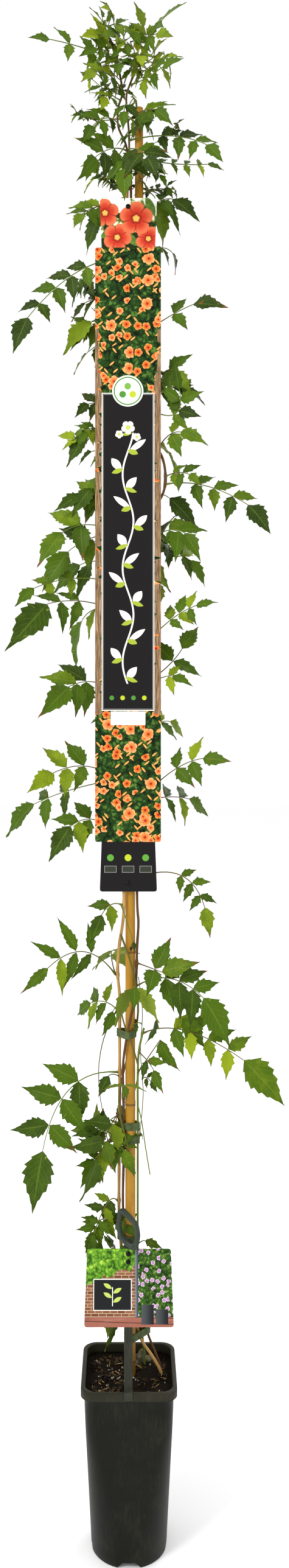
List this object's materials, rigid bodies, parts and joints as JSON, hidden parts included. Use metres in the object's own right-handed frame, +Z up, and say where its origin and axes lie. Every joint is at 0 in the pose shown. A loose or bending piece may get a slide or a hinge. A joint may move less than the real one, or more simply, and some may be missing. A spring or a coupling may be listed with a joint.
{
  "type": "potted trumpet vine on a bamboo cane",
  "caption": "Young trumpet vine tied to a tall bamboo cane in a square nursery pot, with toothed pinnate leaves, a long picture label, a hang card and a carrying loop.",
  "frame": {"origin": "on the floor, under the middle of the whole plant's outline", "axes": "+Z up along the cane, +X to the plant's right and -Y towards the front, where the label, the card and the carrying loop face"},
  "size_m": [0.4116, 0.2288, 2.294],
  "materials": {
    "pot_plastic": "satin moulded plastic, dusty",
    "handle_plastic": "satin grey-green moulded plastic",
    "stud_plastic": "black moulded plastic",
    "soil_mix": "damp potting soil with bark chips and perlite",
    "bamboo": "dry bamboo, satin, with fine lengthwise streaks",
    "tie_tape": "matt grey-green tying tape",
    "label_card": "printed plastic card, satin",
    "hang_card": "printed plastic card, satin",
    "bark": "thin brown bark",
    "pale_bark": "pale corky bark",
    "green_shoot": "green shoot",
    "leaf_green": "green leaf, satin, with pinnate veins"
  },
  "bodies": {
    "root": {"pot": "pot_plastic", "soil": "soil_mix", "cane": "bamboo", "carry_handle": "handle_plastic", "label_panel": "label_card", "label_back": "label_card", "label_stud_top": "stud_plastic", "label_stud_bottom": "stud_plastic", "hang_card": "hang_card", "hang_card_stud_1": "stud_plastic", "hang_card_stud_2": "stud_plastic", "tie_lowest": "tie_tape", "tie_behind_loop": "tie_tape", "tie_lower_pair": "tie_tape", "tie_upper_pair": "tie_tape", "tie_upper": "tie_tape", "tie_behind_label": "tie_tape", "stem_left": "pale_bark", "stem_right": "bark", "green_shoot": "green_shoot", "crown": "leaf_green", "leaf_left_01": "leaf_green", "leaf_right_01": "leaf_green", "leaf_left_02": "leaf_green", "leaf_left_03": "leaf_green", "leaf_left_04": "leaf_green", "leaf_right_02": "leaf_green", "leaf_right_03": "leaf_green", "leaf_right_04": "leaf_green", "leaf_right_05": "leaf_green", "leaf_right_06": "leaf_green", "leaf_right_07": "leaf_green", "leaf_right_08": "leaf_green", "leaf_left_05": "leaf_green", "leaf_left_06": "leaf_green", "leaf_left_07": "leaf_green", "leaf_left_08": "leaf_green", "leaf_left_09": "leaf_green", "leaf_left_10": "leaf_green", "leaf_left_11": "leaf_green", "leaf_left_12": "leaf_green", "leaf_right_09": "leaf_green", "leaf_right_10": "leaf_green", "leaf_right_11": "leaf_green", "leaf_left_13": "leaf_green", "leaf_left_14": "leaf_green", "leaf_right_12": "leaf_green", "leaf_right_13": "leaf_green", "leaf_left_15": "leaf_green", "leaf_left_16": "leaf_green", "leaf_left_17": "leaf_green", "leaf_front_01": "leaf_green", "leaf_right_14": "leaf_green", "leaf_right_15": "leaf_green", "leaf_left_18": "leaf_green", "leaf_front_02": "leaf_green", "leaf_left_19": "leaf_green", "leaf_left_20": "leaf_green", "leaf_left_21": "leaf_green"}
  },
  "joints": []
}
